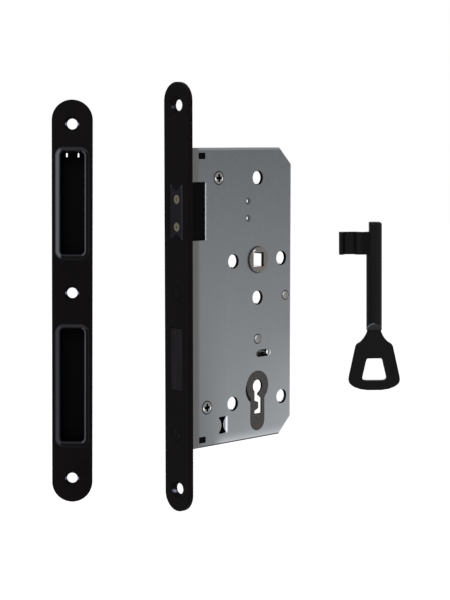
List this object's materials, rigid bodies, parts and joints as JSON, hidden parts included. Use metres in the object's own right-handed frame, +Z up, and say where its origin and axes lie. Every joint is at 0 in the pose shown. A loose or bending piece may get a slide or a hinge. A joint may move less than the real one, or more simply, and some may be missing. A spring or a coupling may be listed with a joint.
{
  "type": "mortise lock",
  "caption": "Mortise door lock with black forend, magnetic latch, square spindle follower and warded keyhole, with its deadbolt, its strike plate and its key beside it.",
  "frame": {"origin": "centre of the forend's front face, at spindle height and in the middle of the case's thickness", "axes": "+X into the door, from the forend to the case's rear edge; +Z up along the door's edge; -Y out of the face that carries the cover plate"},
  "size_m": [0.1304, 0.2846, 0.2431],
  "materials": {
    "black_coat": "satin black powder coat",
    "zinc_sheet": "galvanised, dull grey",
    "bright_steel": "bright rolled steel",
    "bright_zinc": "bright zinc",
    "nickel": "nickel plated",
    "insert_bronze": "dark bronze colour, die cast",
    "follower_grey": "die cast, warm grey",
    "latch_grey": "satin dark grey",
    "bolt_grey": "satin dark grey",
    "magnet": "plated magnet",
    "black_plastic": "matt black",
    "spring_steel": "drawn spring wire"
  },
  "bodies": {
    "case": {"case_tray": "zinc_sheet", "cover_plate": "zinc_sheet", "cover_posts": "bright_steel", "cover_screws": "nickel", "spacer_rivet": "bright_steel", "bolt_guide_pin": "bright_steel", "through_sleeves": "bright_zinc", "forend_plate": "black_coat", "forend_lugs": "black_plastic", "forend_screw": "black_coat", "latch_housing": "black_plastic", "keyhole_insert": "insert_bronze", "insert_screw": "black_coat", "tumbler_pivot": "bright_steel", "strike_plate": "black_coat", "strike_latch_box": "black_plastic", "strike_bolt_box": "black_plastic", "strike_magnet": "magnet", "strike_clips": "bright_zinc", "key": "black_coat"},
    "latch": {"latch_head": "latch_grey", "latch_magnets": "magnet", "latch_tail": "bright_steel", "latch_spring": "spring_steel"},
    "follower_hub": {"follower": "follower_grey", "follower_spring": "spring_steel"},
    "deadbolt": {"deadbolt_head": "bolt_grey", "deadbolt_tail": "bright_steel", "deadbolt_rivets": "bright_steel", "bolt_stump": "bright_zinc"},
    "tumbler_lever": {"tumbler": "bright_steel", "tumbler_spring": "spring_steel"}
  },
  "joints": [
    {"name": "latch_slide", "type": "slide", "parent": "case", "child": "latch", "axis": [-1, 0, 0], "range_m": [0, 0.012], "stiffness_N_per_m": 30, "springref_m": -0.002, "deforming": ["latch_spring"]},
    {"name": "follower_turn", "type": "hinge", "parent": "case", "child": "follower_hub", "pos_m": [0.055, 0, 0], "axis": [0, 1, 0], "range_deg": [0, 40], "stiffness_Nm_per_rad": 0.3, "springref_deg": -11.46, "deforming": ["follower_spring"]},
    {"name": "deadbolt_slide", "type": "slide", "parent": "case", "child": "deadbolt", "axis": [-1, 0, 0], "range_m": [0, 0.014]},
    {"name": "tumbler_lift", "type": "hinge", "parent": "case", "child": "tumbler_lever", "pos_m": [0.074, 0, -0.043], "axis": [0, 1, 0], "range_deg": [0, 8], "deforming": ["tumbler_spring"]}
  ],
  "couplings": [
    {"joint": "tumbler_lift", "follows": "deadbolt_slide", "rad_per_m": 9.97}
  ]
}
